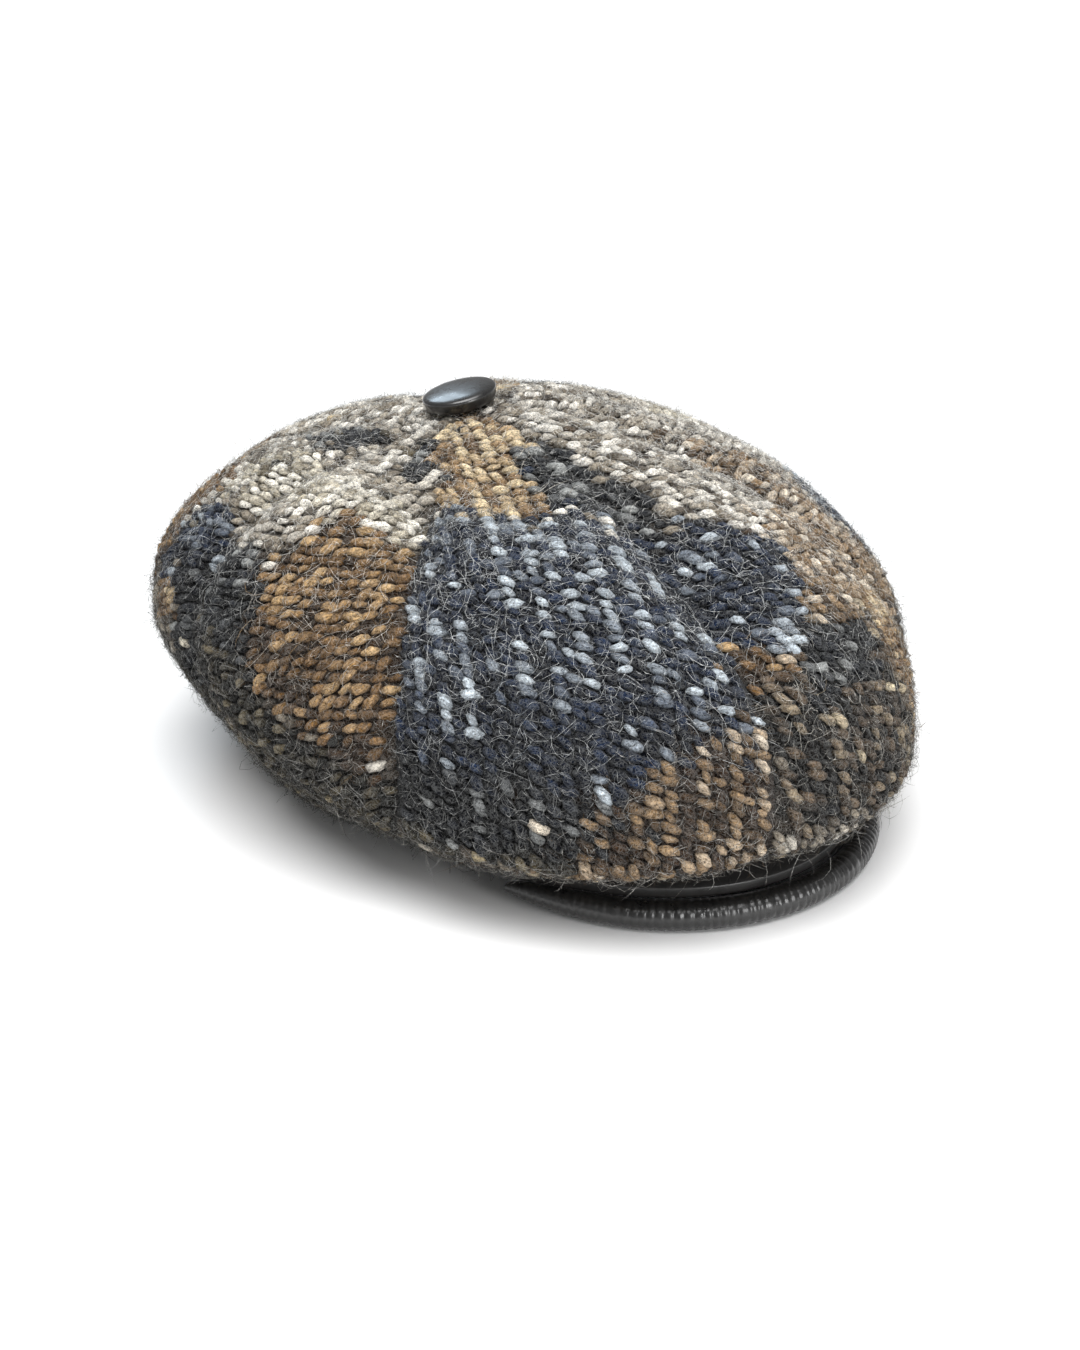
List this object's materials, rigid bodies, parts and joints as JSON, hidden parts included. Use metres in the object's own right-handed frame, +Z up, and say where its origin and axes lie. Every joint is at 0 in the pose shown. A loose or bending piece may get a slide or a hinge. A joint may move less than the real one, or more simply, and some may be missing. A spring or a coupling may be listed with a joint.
{
  "type": "newsboy cap",
  "caption": "Newsboy cap: a full, panelled crown of hairy wool tweed with a leather-covered button, over a short leather peak with a gathered, rolled edge.",
  "frame": {"origin": "under the middle of the cap's box, on the surface that the cap rests on", "axes": "+Z up, -Y to the front where the peak is, +X to the wearer's left"},
  "size_m": [0.2602, 0.2896, 0.1354],
  "materials": {
    "wool_tweed": "thick, hairy wool tweed in a large broken plaid of navy, camel, cream and dark brown",
    "band_cloth": "plain black cloth",
    "peak_leather": "smooth black leather, half gloss",
    "rolled_leather": "black leather gathered into small puckers, half gloss",
    "button_leather": "smooth black leather, half gloss"
  },
  "bodies": {
    "root": {"crown_panel_1": "wool_tweed", "crown_panel_2": "wool_tweed", "crown_panel_3": "wool_tweed", "crown_panel_4": "wool_tweed", "crown_panel_5": "wool_tweed", "crown_panel_6": "wool_tweed", "crown_panel_7": "wool_tweed", "crown_panel_8": "wool_tweed", "headband": "band_cloth", "peak": "peak_leather", "peak_edge": "rolled_leather", "button": "button_leather"}
  },
  "joints": []
}
